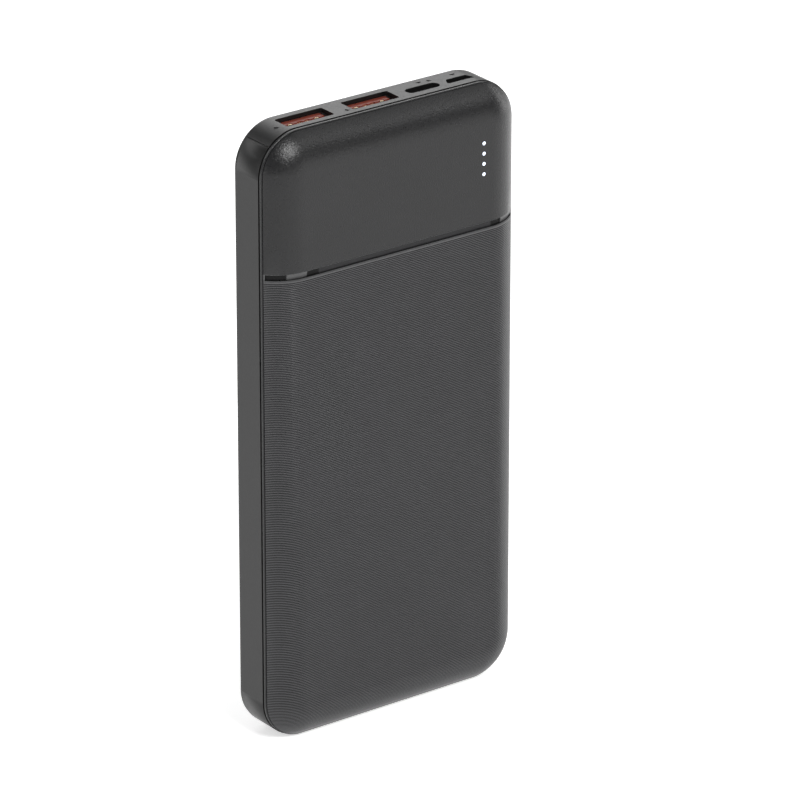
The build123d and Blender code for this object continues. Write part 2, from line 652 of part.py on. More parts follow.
with BuildPart() as power_inductor:
    extrude(**board_block(*INDUCTOR))
    fillet(power_inductor.edges().filter_by(Axis.Y), INDUCTOR_CORNER)
    chamfer(power_inductor.faces().sort_by(Axis.Y)[-1].edges(), INDUCTOR_CHAMFER)
power_inductor.part.label = "power_inductor"
export_step(power_inductor.part, "parts/power_inductor.step")

with BuildPart() as controller_chip:
    extrude(**board_block(*CONTROLLER))
controller_chip.part.label = "controller_chip"
export_step(controller_chip.part, "parts/controller_chip.step")

with BuildPart() as bulk_capacitor:
    with BuildSketch(at_depth(BOARD_BACK)):
        with Locations(CAPACITOR_POINT):
            Circle(CAPACITOR_R)
    extrude(amount=-CAPACITOR_HEIGHT)
    fillet(bulk_capacitor.faces().sort_by(Axis.Y)[-1].edges(), CAPACITOR_EDGE)
bulk_capacitor.part.label = "bulk_capacitor"
export_step(bulk_capacitor.part, "parts/bulk_capacitor.step")

with BuildPart() as power_transistors:
    for transistor in TRANSISTORS:
        extrude(**board_block(*transistor))
power_transistors.part.label = "power_transistors"
export_step(power_transistors.part, "parts/power_transistors.step")

with BuildPart() as ceramic_capacitors:
    for x, z in CERAMIC_POINTS:
        extrude(**board_block(x, z, *CERAMIC_SIZE))
ceramic_capacitors.part.label = "ceramic_capacitors"
export_step(ceramic_capacitors.part, "parts/ceramic_capacitors.step")

# ---------------------------------------------------------------- charge lamps

lamp_zs = [LAMP_TOP - LAMP_PITCH * i for i in range(LAMP_COUNT)]
guide_back = BOARD_FRONT - LED_SIZE[1] - LED_GAP
guide_front = guide_back - GUIDE_PLATE
guide_x = about(LAMP_X, GUIDE_WIDTH)
guide_z = (lamp_zs[-1] - GUIDE_END, lamp_zs[0] + GUIDE_END)

with BuildPart() as status_leds:
    for z in lamp_zs:
        led_y = (BOARD_FRONT - LED_SIZE[1], BOARD_FRONT)
        extrude(**block(about(LAMP_X, LED_SIZE[0]), led_y, about(z, LED_SIZE[2])))
status_leds.part.label = "status_leds"
export_step(status_leds.part, "parts/status_leds.step")

with BuildPart() as light_guide:
    extrude(**block(guide_x, (guide_front, guide_back), guide_z))
    with BuildSketch(at_depth(guide_front)):
        with Locations(*((LAMP_X, z) for z in lamp_zs)):
            Circle(LAMP_R)
    extrude(amount=FRONT + guide_front)
light_guide.part.label = "light_guide"
export_step(light_guide.part, "parts/light_guide.step")

with BuildPart() as lamp_shade:
    extrude(**block(guide_x, (guide_back, BOARD_FRONT), guide_z))
    for z in lamp_zs:
        window_x = about(LAMP_X, LED_WINDOW[0])
        extrude(**block(window_x, (guide_back, BOARD_FRONT), about(z, LED_WINDOW[1])), mode=Mode.SUBTRACT)
lamp_shade.part.label = "lamp_shade"
export_step(lamp_shade.part, "parts/lamp_shade.step")

# ---------------------------------------------------------------- sockets

tongue_y = about(USB_A_TONGUE_Y, USB_A_TONGUE[1])
shell_inside = (USB_A_SHELL[0] - 2 * SHEET, USB_A_SHELL[1] - 2 * SHEET)
root_top = USB_A_REAR + USB_A_TONGUE_ROOT
for number, x in enumerate(USB_A_XS, start=1):
    with BuildPart() as usb_a_shell:
        with BuildSketch(Plane.XY.offset(USB_A_REAR)):
            with Locations((x, 0)):
                RectangleRounded(*USB_A_SHELL, USB_A_SHELL_CORNERS[0])
        extrude(amount=USB_A_MOUTH - USB_A_REAR)
        with BuildSketch(Plane.XY.offset(USB_A_REAR + SHEET)):
            with Locations((x, 0)):
                RectangleRounded(*shell_inside, USB_A_SHELL_CORNERS[1])
        extrude(amount=USB_A_MOUTH - USB_A_REAR - SHEET, mode=Mode.SUBTRACT)
    usb_a_shell.part.label = f"usb_a_shell_{number}"
    export_step(usb_a_shell.part, f"parts/usb_a_shell_{number}.step")

    with BuildPart() as usb_a_tongue:
        root_x = about(x, shell_inside[0] - 2 * USB_A_ROOT_GAPS[0])
        root_y = about(0, shell_inside[1] - 2 * USB_A_ROOT_GAPS[1])
        extrude(**block(root_x, root_y, (USB_A_REAR + SHEET, root_top)))
        extrude(**block(about(x, USB_A_TONGUE[0]), tongue_y, (root_top, USB_A_MOUTH)))
        channel_width, channel_depth = USB_A_CHANNEL
        channel_y = (tongue_y[0], tongue_y[0] + channel_depth)
        for strip_x, tip in USB_A_STRIPS:
            channel_x = about(x + strip_x, channel_width)
            extrude(**block(channel_x, channel_y, (root_top, USB_A_MOUTH)), mode=Mode.SUBTRACT)
    usb_a_tongue.part.label = f"usb_a_tongue_{number}"
    export_step(usb_a_tongue.part, f"parts/usb_a_tongue_{number}.step")

    with BuildPart() as usb_a_contacts:
        strip_width, strip_thickness = USB_A_STRIP
        for strip_x, tip in USB_A_STRIPS:
            strip_z = (root_top + STRIP_START, USB_A_MOUTH - tip)
            extrude(**block(about(x + strip_x, strip_width), about(tongue_y[0], strip_thickness), strip_z))
    usb_a_contacts.part.label = f"usb_a_contacts_{number}"
    export_step(usb_a_contacts.part, f"parts/usb_a_contacts_{number}.step")

with BuildPart() as usb_c_shell:
    with BuildSketch(Plane.XY.offset(USB_C_REAR)):
        with Locations((USB_C_X, USB_C_Y)):
            SlotOverall(*USB_C_SHELL)
    extrude(amount=USB_C_MOUTH - USB_C_REAR)
    with BuildSketch(Plane.XY.offset(USB_C_REAR + SHEET)):
        with Locations((USB_C_X, USB_C_Y)):
            SlotOverall(USB_C_SHELL[0] - 2 * SHEET, USB_C_SHELL[1] - 2 * SHEET)
    extrude(amount=USB_C_MOUTH - USB_C_REAR - SHEET, mode=Mode.SUBTRACT)
usb_c_shell.part.label = "usb_c_shell"
export_step(usb_c_shell.part, "parts/usb_c_shell.step")

usb_c_root_top = USB_C_REAR + SHEET + USB_C_ROOT
with BuildPart() as usb_c_tongue:
    with BuildSketch(Plane.XY.offset(USB_C_REAR + SHEET)):
        with Locations((USB_C_X, USB_C_Y)):
            less = 2 * (SHEET + USB_C_ROOT_GAP)
            SlotOverall(USB_C_SHELL[0] - less, USB_C_SHELL[1] - less)
    extrude(amount=USB_C_ROOT)
    with BuildSketch(Plane.XY.offset(usb_c_root_top)):
        with Locations((USB_C_X, USB_C_Y)):
            Rectangle(*USB_C_TONGUE)
    extrude(amount=USB_C_TONGUE_LENGTH)
usb_c_tongue.part.label = "usb_c_tongue"
export_step(usb_c_tongue.part, "parts/usb_c_tongue.step")

with BuildPart() as usb_c_contacts:
    strip_width, strip_thickness, strip_length = USB_C_STRIP
    strip_bottom = usb_c_root_top + STRIP_START
    for side in (-1, 1):
        strip_y = about(USB_C_Y + side * (USB_C_TONGUE[1] + strip_thickness) / 2, strip_thickness)
        for step in range(USB_C_STRIPS):
            strip_x = USB_C_X + (step - (USB_C_STRIPS - 1) / 2) * USB_C_STRIP_PITCH
            strip_z = (strip_bottom, strip_bottom + strip_length)
            extrude(**block(about(strip_x, strip_width), strip_y, strip_z))
usb_c_contacts.part.label = "usb_c_contacts"
export_step(usb_c_contacts.part, "parts/usb_c_contacts.step")

with BuildPart() as micro_usb_shell:
    extrude(micro_outline(MICRO_REAR, SHEET), amount=MICRO_MOUTH - MICRO_REAR)
    inside = micro_outline(MICRO_REAR + SHEET, 0)
    extrude(inside, amount=MICRO_MOUTH - MICRO_REAR - SHEET, mode=Mode.SUBTRACT)
micro_usb_shell.part.label = "micro_usb_shell"
export_step(micro_usb_shell.part, "parts/micro_usb_shell.step")

micro_root_top = MICRO_REAR + SHEET + MICRO_ROOT
micro_tongue_y = (MICRO_Y + MICRO_TONGUE_FROM, MICRO_Y + MICRO_TONGUE_FROM + MICRO_TONGUE[1])
micro_tongue_end = MICRO_MOUTH - MICRO_TONGUE_TIP
with BuildPart() as micro_usb_tongue:
    extrude(micro_outline(MICRO_REAR + SHEET, -MICRO_ROOT_GAP), amount=MICRO_ROOT)
    extrude(**block(about(MICRO_X, MICRO_TONGUE[0]), micro_tongue_y, (micro_root_top, micro_tongue_end)))
micro_usb_tongue.part.label = "micro_usb_tongue"
export_step(micro_usb_tongue.part, "parts/micro_usb_tongue.step")

with BuildPart() as micro_usb_contacts:
    strip_width, strip_thickness, tip = MICRO_STRIP
    strip_y = (micro_tongue_y[0] - strip_thickness, micro_tongue_y[0])
    for step in range(MICRO_STRIPS):
        strip_x = MICRO_X + (step - (MICRO_STRIPS - 1) / 2) * MICRO_STRIP_PITCH
        strip_z = (micro_root_top + STRIP_START, micro_tongue_end - tip)
        extrude(**block(about(strip_x, strip_width), strip_y, strip_z))
micro_usb_contacts.part.label = "micro_usb_contacts"
export_step(micro_usb_contacts.part, "parts/micro_usb_contacts.step")
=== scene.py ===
"""Looks of a slim power bank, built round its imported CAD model.

Everything is in metres in the CAD model's frame: X is the width, Z the height, the front faces -Y,
and the origin is at the middle of the base. The mesh builders work in millimetres and scale at the end.
"""

from math import asin, atan2, cos, hypot, pi, radians, sin, sqrt

import bmesh
import bpy
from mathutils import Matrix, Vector


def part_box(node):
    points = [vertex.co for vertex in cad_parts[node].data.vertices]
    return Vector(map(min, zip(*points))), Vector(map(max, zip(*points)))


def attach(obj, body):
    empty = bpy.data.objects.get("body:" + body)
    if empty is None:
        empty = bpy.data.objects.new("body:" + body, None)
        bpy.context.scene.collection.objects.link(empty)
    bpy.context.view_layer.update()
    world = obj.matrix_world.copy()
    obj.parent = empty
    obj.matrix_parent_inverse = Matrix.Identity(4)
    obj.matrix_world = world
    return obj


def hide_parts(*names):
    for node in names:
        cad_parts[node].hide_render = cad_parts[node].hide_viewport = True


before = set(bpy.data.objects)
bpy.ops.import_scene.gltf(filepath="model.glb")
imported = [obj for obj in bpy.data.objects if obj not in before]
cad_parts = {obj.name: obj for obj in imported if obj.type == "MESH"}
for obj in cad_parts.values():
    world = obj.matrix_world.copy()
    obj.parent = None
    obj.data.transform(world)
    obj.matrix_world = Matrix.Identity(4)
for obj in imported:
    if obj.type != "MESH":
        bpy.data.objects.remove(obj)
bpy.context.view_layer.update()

MM = 0.001
SHARP_ANGLE = 40                               # degrees, from which an edge is a crease
TOLERANCE = 0.000001

# ---------------------------------------------------------------- sizes, in millimetres

HALF_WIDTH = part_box("side_frame")[1].x / MM
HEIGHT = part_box("port_panel")[1].z / MM
FACE = -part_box("front_cover")[0].y / MM        # depth of a cover's flat face from the mid plane
CORNER_R = 10.0
CORNER_STEPS = 24

# A cover's section, by inset from the case's outline and depth from the mid plane.
DOME_R = 10.7
DOME_RUN = 8.75
EDGE = 0.45                                    # inset at which the shoulder starts
WALL = 1.6
RIM = (
    (1.2, 5.05), (1.2, 4.87), (0.4, 4.87), (0.25, 4.83), (0.18, 4.75), (0.18, 4.25),
    (0.25, 4.17), (0.4, 4.13), (1.2, 4.13), (1.2, 4.0),
)
SKIRT = ((2.15, 4.0), (2.15, 3.0), (3.15, 3.0))
INSIDE_INSETS = (3.15, 4.2, 5.4, 6.6, 7.8, DOME_RUN)

# How finely a cover's grid is cut.
COLUMN_STEPS = 14                              # across a side shoulder
ROW_STEPS = 26                                 # across an end shoulder
EDGE_STEPS = (0, 0.015, 0.05, 0.11, 0.2, 0.32, 0.48, 0.68, 0.9)
EDGE_GAP = 0.1                                 # least gap between the edge's rows and the shoulder's
FACE_COLUMNS = (-12.0, 0.0, 12.0)
FACE_ROW = 118.0
BACK_STEPS = 12                                # over the height of the plain cover

# Ribs, groove and lamps of the front cover.
RIB_PITCH = 0.413
RIB_DEPTH = 0.08
RIB_SAMPLES = 4
RIB_START = 1.6
RIB_FULL = 5.0                                 # height at which the ribs reach their full depth
RIB_FADE = (0.6, 1.6)                          # insets over which the ribs fade in
GROOVE = (111.25, 112.5)                       # Z range
GROOVE_CHAMFER = 0.15
GROOVE_DEPTH = 0.4
GROOVE_END_DEPTH = 0.5
GROOVE_END = 2.6                               # length of the deeper ends
GROOVE_END_RUN = 0.6                           # length over which an end rises to the floor
GROOVE_FADE = (EDGE, 1.2)                      # insets over which chamfer and bridges fade in
MAIN_GROOVE = (-24.6, 28.0)                    # X ranges, with bridges beside them
SIDE_GROOVE = (-33.3, -29.4)
BRIDGE_DROP = 0.45                             # depth of a bridge at its lower edge
BORDER = (110.93, 111.13)                      # Z range of the fine line below the groove
BORDER_DEPTH = 0.08
STEP = 0.02                                    # run of a groove's steep walls
LAMP_X = 23.0
LAMP_ZS = tuple(131.2 - 2.4 * i for i in range(4))
LAMP_HOLE_R = 0.45
LAMP_PATCH = 0.7                               # half the side of the square patch round a hole
LAMP_QUARTER = 8                               # steps in a quarter of a hole


# ---------------------------------------------------------------- mesh helpers

def mesh_object(name, bm, materials):
    """Turns a bmesh in millimetres into an object in metres with smooth faces and sharp creases."""
    bmesh.ops.scale(bm, vec=(MM, MM, MM), verts=bm.verts)
    bmesh.ops.recalc_face_normals(bm, faces=bm.faces)
    mesh = bpy.data.meshes.new(name)
    bm.to_mesh(mesh)
    bm.free()
    mesh.shade_smooth()
    mesh.set_sharp_from_angle(angle=radians(SHARP_ANGLE))
    for material in materials:
        mesh.materials.append(material)
    piece = bpy.data.objects.new(name, mesh)
    bpy.context.scene.collection.objects.link(piece)
    return piece


def zip_loops(bm, first, second):
    """Joins two closed loops of different counts, one inside the other in the front view, by triangles."""
    def turn(vertex):
        return atan2(vertex.co.z - HEIGHT / 2, vertex.co.x)

    first = sorted(first, key=turn)
    second = sorted(second, key=turn)
    i = 0
    j = 0
    while i < len(first) or j < len(second):
        a, b = first[i % len(first)], second[j % len(second)]
        next_a, next_b = first[(i + 1) % len(first)], second[(j + 1) % len(second)]
        turn_a = turn(next_a) + (2 * pi if i + 1 >= len(first) else 0)
        turn_b = turn(next_b) + (2 * pi if j + 1 >= len(second) else 0)
        if j >= len(second) or (i < len(first) and turn_a <= turn_b):
            bm.faces.new((a, next_a, b))
            i += 1
        else:
            bm.faces.new((a, next_b, b))
            j += 1


# ---------------------------------------------------------------- covers

# Order of COVER_MATERIALS; all but the plain field carry painted shade or a painted highlight.
PLAIN, GROOVE_FLOOR_SHADE, GROOVE_END_SHADE, CREST_HIGHLIGHT, BRIDGE_REFLECTION, VALLEY_SHADE = range(6)


def inset_at(x, z):
    """Distance from a point of the front view to the case's rounded outline."""
    over_x = abs(x) - (HALF_WIDTH - CORNER_R)
    over_z = abs(z - HEIGHT / 2) - (HEIGHT / 2 - CORNER_R)
    return CORNER_R - hypot(max(over_x, 0), max(over_z, 0)) - min(max(over_x, over_z), 0)


def dome_depth(inset, radius=DOME_R):
    """Depth of a cover's surface, or of a surface parallel to it, at an inset from the outline."""
    return sqrt(radius**2 - max(DOME_RUN - inset, 0) ** 2) - (DOME_R - FACE)


def ramp(value, start, end):
    """0 before start, 1 after end, and smooth between."""
    t = min(max((value - start) / (end - start), 0), 1)
    return t * t * (3 - 2 * t)


def rib_wave(z):
    """The ribs' section: 0 on the crests and 1 in the valleys."""
    if not RIB_START < z < BORDER[0] - RIB_PITCH / 2:
        return 0
    return 0.5 - 0.5 * cos(2 * pi * (z - RIB_START) / RIB_PITCH)


def rib_cut(x, z):
    """Depth of the fine cross ribs, which fade out at the sides and the bottom."""
    return RIB_DEPTH * rib_wave(z) * ramp(z, RIB_START, RIB_FULL) * ramp(inset_at(x, z), *RIB_FADE)


def groove_cut(x, z):
    """Depth of the cross groove, its bridges and the fine border line below it."""
    bottom, top = GROOVE
    fade = ramp(inset_at(x, z), *GROOVE_FADE)
    if BORDER[0] < z < BORDER[1]:
        return BORDER_DEPTH * fade
    if not bottom < z < top + GROOVE_CHAMFER:
        return 0
    if z > top:
        return (top + GROOVE_CHAMFER - z) * fade
    if SIDE_GROOVE[0] < x < SIDE_GROOVE[1]:
        return GROOVE_END_DEPTH
    left, right = MAIN_GROOVE
    if left < x < right:
        rise = ramp(min(x - left, right - x), GROOVE_END, GROOVE_END + GROOVE_END_RUN)
        return GROOVE_END_DEPTH - (GROOVE_END_DEPTH - GROOVE_DEPTH) * rise
    slope = GROOVE_CHAMFER + (BRIDGE_DROP - GROOVE_CHAMFER) * (top - z) / (top - bottom)
    return slope * fade


def cover_tone(x, z):
    """Index in COVER_MATERIALS for a point of the detailed cover, with painted shade in the groove and rib
    valleys and painted highlights on the rib crests and bridges.
    """
    bottom, top = GROOVE
    if z < BORDER[1]:
        # rib valleys get painted shade and rib crests a painted highlight
        return VALLEY_SHADE if rib_wave(z) > 0.5 else CREST_HIGHLIGHT
    if not bottom < z < top + GROOVE_CHAMFER:
        return PLAIN
    depth = groove_cut(x, z)
    # bridges and the chamfer above the groove get the painted reflection
    if z > top or depth < GROOVE_DEPTH:
        return BRIDGE_REFLECTION
    # the groove floor and its deeper ends take painted shade
    return GROOVE_FLOOR_SHADE if depth < (GROOVE_DEPTH + GROOVE_END_DEPTH) / 2 else GROOVE_END_SHADE


def around(value):
    """Two grid lines for a steep wall, one each side of it."""
    return [value - STEP / 2, value + STEP / 2]


def shoulder_insets(count):
    """Insets from the rim to the flat face, at even steps of the shoulder's angle."""
    most = asin((DOME_RUN - EDGE) / DOME_R)
    return [DOME_RUN - DOME_R * sin(most * (1 - i / count)) for i in range(count + 1)]


def half_width_at(z):
    """Half the width of a cover's domed face at a height."""
    past = max(CORNER_R - z, z - (HEIGHT - CORNER_R), 0)
    return HALF_WIDTH - CORNER_R + sqrt(max((CORNER_R - EDGE) ** 2 - past**2, 0))


def rim_ring(bm, inset, depth, side):
    """Closed loop of vertices that follows the case's outline."""
    ring = []
    for quarter in range(4):
        hub_x = (HALF_WIDTH - CORNER_R) * (1 if quarter in (0, 3) else -1)
        hub_z = HEIGHT / 2 + (HEIGHT / 2 - CORNER_R) * (1 if quarter < 2 else -1)
        for step in range(CORNER_STEPS + 1):
            angle = (quarter + step / CORNER_STEPS) * pi / 2
            radius = CORNER_R - inset
            place = (hub_x + radius * cos(angle), side * depth, hub_z + radius * sin(angle))
            ring.append(bm.verts.new(place))
    return ring


def ring_faces(bm, first, second):
    """Joins two loops of equal count by quads."""
    for i in range(len(first)):
        j = (i + 1) % len(first)
        bm.faces.new((first[i], first[j], second[j], second[i]))


def lamp_hole(bm, corners, x, z, side):
    """Fills a square gap in the flat face with a round hole, and returns the hole's inner loop."""
    count = 4 * LAMP_QUARTER
    angles = [pi / 4 + 2 * pi * i / count for i in range(count)]
    loops = []
    for depth in (FACE, FACE - WALL):
        loops.append([
            bm.verts.new((x + LAMP_HOLE_R * cos(a), side * depth, z + LAMP_HOLE_R * sin(a))) for a in angles
        ])
    outer, inner = loops
    ring_faces(bm, outer, inner)
    for quarter in range(4):
        corner, following = corners[quarter], corners[(quarter + 1) % 4]
        first = quarter * LAMP_QUARTER
        for i in range(first, first + LAMP_QUARTER):
            bm.faces.new((corner, outer[i], outer[(i + 1) % count]))
        bm.faces.new((corner, outer[(first + LAMP_QUARTER) % count], following))
    return inner


def cover_lines(detailed):
    """Places of a cover's grid lines: sorted columns in X, for the full width, and rows in Z."""
    insets = shoulder_insets(COLUMN_STEPS)
    columns = {HALF_WIDTH - inset for inset in insets} | {inset - HALF_WIDTH for inset in insets}
    columns |= set(FACE_COLUMNS)
    margin = [EDGE + step for step in EDGE_STEPS]
    end_insets = margin + [i for i in shoulder_insets(ROW_STEPS) if i > margin[-1] + EDGE_GAP]
    rows = {HEIGHT - inset for inset in end_insets}
    if not detailed:
        rows |= set(end_insets) | {HEIGHT * i / BACK_STEPS for i in range(2, BACK_STEPS - 1)}
        return sorted(columns), sorted(rows)

    for left, right in (MAIN_GROOVE, SIDE_GROOVE):
        columns |= {*around(left), *around(right)}
    left, right = MAIN_GROOVE
    columns |= {left + GROOVE_END, left + GROOVE_END + GROOVE_END_RUN}
    columns |= {right - GROOVE_END - GROOVE_END_RUN, right - GROOVE_END}
    columns |= {LAMP_X - LAMP_PATCH, LAMP_X + LAMP_PATCH}
    rib_count = int((BORDER[0] - RIB_START) / RIB_PITCH)
    rows |= {i for i in margin if i < RIB_START}
    rows |= {RIB_START + RIB_PITCH * i / RIB_SAMPLES for i in range(rib_count * RIB_SAMPLES + 1)}
    rows |= {*around(BORDER[0]), *around(BORDER[1]), *around(GROOVE[0]), *around(GROOVE[1])}
    rows |= {GROOVE[1] + GROOVE_CHAMFER, FACE_ROW}
    rows |= {z + d for z in LAMP_ZS for d in (-LAMP_PATCH, LAMP_PATCH)}
    return sorted(columns), sorted(rows)


def is_lamp_patch(column, row):
    """Whether a grid cell, given by its lower left corner, is the square round a lamp hole."""
    if abs(column - (LAMP_X - LAMP_PATCH)) > TOLERANCE:
        return False
    return any(abs(row - (z - LAMP_PATCH)) < TOLERANCE for z in LAMP_ZS)


def make_cover(name, side, detailed):
    """A domed cover: side is -1 at the front and 1 at the back.

    The detailed one has ribs, a groove and lamp holes.
    """
    columns, rows = cover_lines(detailed)
    full = half_width_at(HEIGHT / 2)

    bm = bmesh.new()
    grid = []
    for z in rows:
        stretch = half_width_at(z) / full
        line = []
        for column in columns:
            x = column * stretch
            depth = dome_depth(inset_at(x, z))
            if detailed:
                depth -= rib_cut(x, z) + groove_cut(x, z)
            line.append(bm.verts.new((x, side * depth, z)))
        grid.append(line)

    hole_loops = []
    for i in range(len(rows) - 1):
        for j in range(len(columns) - 1):
            corners = (grid[i + 1][j + 1], grid[i + 1][j], grid[i][j], grid[i][j + 1])
            if detailed and is_lamp_patch(columns[j], rows[i]):
                hole_loops.append(lamp_hole(bm, corners, LAMP_X, rows[i] + LAMP_PATCH, side))
            else:
                face = bm.faces.new(corners)
                if detailed:
                    middle = face.calc_center_median()
                    face.material_index = cover_tone(middle.x, middle.z)

    edge = grid[0] + [line[-1] for line in grid[1:-1]] + grid[-1][::-1] + [line[0] for line in grid[-2:0:-1]]
    inner = [(i, dome_depth(i, DOME_R - WALL)) for i in INSIDE_INSETS]
    rings = [rim_ring(bm, inset, depth, side) for inset, depth in (*RIM, *SKIRT, *inner)]
    zip_loops(bm, edge, rings[0])
    for first, second in zip(rings, rings[1:]):
        ring_faces(bm, first, second)
    loops = (rings[-1], *hole_loops)
    border = [bm.edges.get((loop[i - 1], loop[i])) for loop in loops for i in range(len(loop))]
    bmesh.ops.triangle_fill(bm, edges=border, use_beauty=True)
    return mesh_object(name, bm, COVER_MATERIALS)


# ---------------------------------------------------------------- materials

BROAD_SCALE = 90                               # features per metre of the slow changes of tone
BROAD_SHARE = 0.4                              # shares of slow and fine noise in the colour
FINE_SHARE = 0.6
ROUGH_VARY = 0.12                              # share by which the roughness varies


def noise(tree, scale, detail, stretch=(1, 1, 1)):
    """Fac output of noise in object space. scale is in features per metre."""
    place = tree.nodes.new("ShaderNodeTexCoord")
    mapping = tree.nodes.new("ShaderNodeMapping")
    mapping.inputs["Scale"].default_value = stretch
    texture = tree.nodes.new("ShaderNodeTexNoise")
    texture.inputs["Scale"].default_value = scale
    texture.inputs["Detail"].default_value = detail
    tree.links.new(place.outputs["Object"], mapping.inputs["Vector"])
    tree.links.new(mapping.outputs["Vector"], texture.inputs["Vector"])
    return texture.outputs["Fac"]


def spread(tree, fac, low, high):
    """Maps a noise's middle range onto low to high."""
    node = tree.nodes.new("ShaderNodeMapRange")
    node.inputs["From Min"].default_value = 0.3
    node.inputs["From Max"].default_value = 0.7
    node.inputs["To Min"].default_value = low
    node.inputs["To Max"].default_value = high
    tree.links.new(fac, node.inputs["Value"])
    return node.outputs["Result"]


def make_material(name, colour, rough, vary=0.15, grain=3000, bump=0.3, bump_size=0.00002, metal=0.0,
                  stretch=(1, 1, 1), **constants):
    """A surface with colour, roughness and bump that vary with noise.

    vary is the share by which the colour varies, grain is in features per metre, bump_size is in metres,
    and constants are sockets of the shader, with _ for each space in their names.
    """
    material = bpy.data.materials.new(name)
    material.use_nodes = True
    tree = material.node_tree
    shader = tree.nodes["Principled BSDF"]
    shader.inputs["Metallic"].default_value = metal
    for key, value in constants.items():
        shader.inputs[key.replace("_", " ").replace("Ior", "IOR")].default_value = value

    broad = noise(tree, BROAD_SCALE, 3)
    fine = noise(tree, grain, 2, stretch)
    mix = tree.nodes.new("ShaderNodeMix")
    mix.data_type = "RGBA"
    mix.inputs["A"].default_value = (*(c * (1 - vary) for c in colour), 1)
    mix.inputs["B"].default_value = (*(min(c * (1 + vary), 1) for c in colour), 1)
    blend = tree.nodes.new("ShaderNodeMath")
    blend.operation = "ADD"
    tree.links.new(spread(tree, broad, 0, BROAD_SHARE), blend.inputs[0])
    tree.links.new(spread(tree, fine, 0, FINE_SHARE), blend.inputs[1])
    tree.links.new(blend.outputs[0], mix.inputs["Factor"])
    tree.links.new(mix.outputs["Result"], shader.inputs["Base Color"])
    rough_high = min(rough * (1 + ROUGH_VARY), 1)
    tree.links.new(spread(tree, fine, rough * (1 - ROUGH_VARY), rough_high), shader.inputs["Roughness"])

    relief = tree.nodes.new("ShaderNodeBump")
    relief.inputs["Strength"].default_value = bump
    relief.inputs["Distance"].default_value = bump_size
    tree.links.new(fine, relief.inputs["Height"])
    tree.links.new(relief.outputs["Normal"], shader.inputs["Normal"])
    return material


def glowing(material, colour, strength):
    """Adds an even glow to a material."""
    shader = material.node_tree.nodes["Principled BSDF"]
    shader.inputs["Emission Color"].default_value = (*colour, 1)
    shader.inputs["Emission Strength"].default_value = strength
    return material


MATERIALS = {
    "case_plastic": make_material("case_plastic", (0.005, 0.005, 0.0055), 0.3, 0.35, 3000, 1.0, 0.00007,
                                  Specular_Ior_Level=0.4),
    "band_plastic": make_material("band_plastic", (0.005, 0.005, 0.005), 0.36, 0.2, 2400, 1.0, 0.00001,
                                  Specular_Ior_Level=0.37),
    "button_plastic": make_material("button_plastic", (0.02, 0.02, 0.021), 0.3, 0.15, 4000, 0.15),
    "socket_orange": make_material("socket_orange", (0.2, 0.035, 0.02), 0.4, 0.2, 2500, 0.2),
    "black_plastic": make_material("black_plastic", (0.012, 0.012, 0.012), 0.45, 0.2, 3000, 0.25),
    "steel": make_material("steel", (0.45, 0.45, 0.46), 0.3, 0.1, 1500, 0.2, metal=1.0,
                           stretch=(1, 1, 0.1)),
    "contact_gold": make_material("contact_gold", (0.78, 0.64, 0.42), 0.25, 0.1, 2500, 0.1, metal=1.0),
    "board_mask": make_material("board_mask", (0.01, 0.07, 0.03), 0.35, 0.25, 900, 0.2),
    "cell_foil": make_material("cell_foil", (0.5, 0.51, 0.53), 0.32, 0.1, 500, 0.4, metal=0.85),
    "foam": make_material("foam", (0.06, 0.06, 0.065), 0.9, 0.35, 1800, 0.9, 0.0001),
    "tape": make_material("tape", (0.55, 0.36, 0.08), 0.35, 0.15, 900, 0.3),
    "clear": glowing(make_material("clear", (0.7, 0.74, 0.86), 0.3, 0.05, 2500, 0.1), (0.76, 0.84, 1.0), 0.8),
    "led_white": make_material("led_white", (0.8, 0.79, 0.66), 0.4, 0.1, 2500, 0.1),
    "red_rubber": make_material("red_rubber", (0.45, 0.02, 0.015), 0.5, 0.15, 1500, 0.3),
    "black_rubber": make_material("black_rubber", (0.015, 0.015, 0.015), 0.55, 0.2, 1500, 0.3),
    "ceramic": make_material("ceramic", (0.42, 0.3, 0.2), 0.5, 0.15, 2500, 0.3),
    "ferrite": make_material("ferrite", (0.06, 0.06, 0.06), 0.7, 0.3, 1500, 0.5, 0.00004),
    "can": make_material("can", (0.6, 0.6, 0.61), 0.28, 0.1, 800, 0.2, metal=1.0),
}

# The detailed cover's tones: plain field, groove floor with painted shade, its deeper ends with darker
# painted shade, rib crests with a painted highlight, bridges with the groove's chamfer lightened by a painted
# reflection, and rib valleys with painted shade.
COVER_MATERIALS = (
    MATERIALS["case_plastic"],
    # painted shade on the groove floor: a duller sheen than the field stands in for the shade in the recess
    make_material("groove_floor_shade", (0.010, 0.010, 0.011), 0.5, 0.2, 2600, 0.3, Specular_Ior_Level=0.3),
    # painted shade in the groove's deeper ends: darker and duller than the floor, where the end walls shade
    # them
    make_material("groove_end_shade", (0.004, 0.004, 0.004), 0.5, 0.2, 2600, 0.3, Specular_Ior_Level=0.15),
    # painted highlight on the rib crests: a lighter, glossier copy of the case plastic
    make_material("rib_crest_highlight", (0.018, 0.018, 0.020), 0.4, 0.3, 3200, 0.4, 0.00002, Specular_Ior_Level=0.82),
    # painted reflection on the bridges and the groove's chamfer: much lighter than the field, as if lit by
    # the floor
    make_material("bridge_reflection", (0.055, 0.055, 0.056), 0.4, 0.2, 2600, 0.3),
    # painted shade in the rib valleys: a darker, duller copy of the case plastic
    make_material("rib_valley_shade", (0.003, 0.003, 0.004), 0.4, 0.3, 3200, 0.4, 0.00002, Specular_Ior_Level=0.22),
)

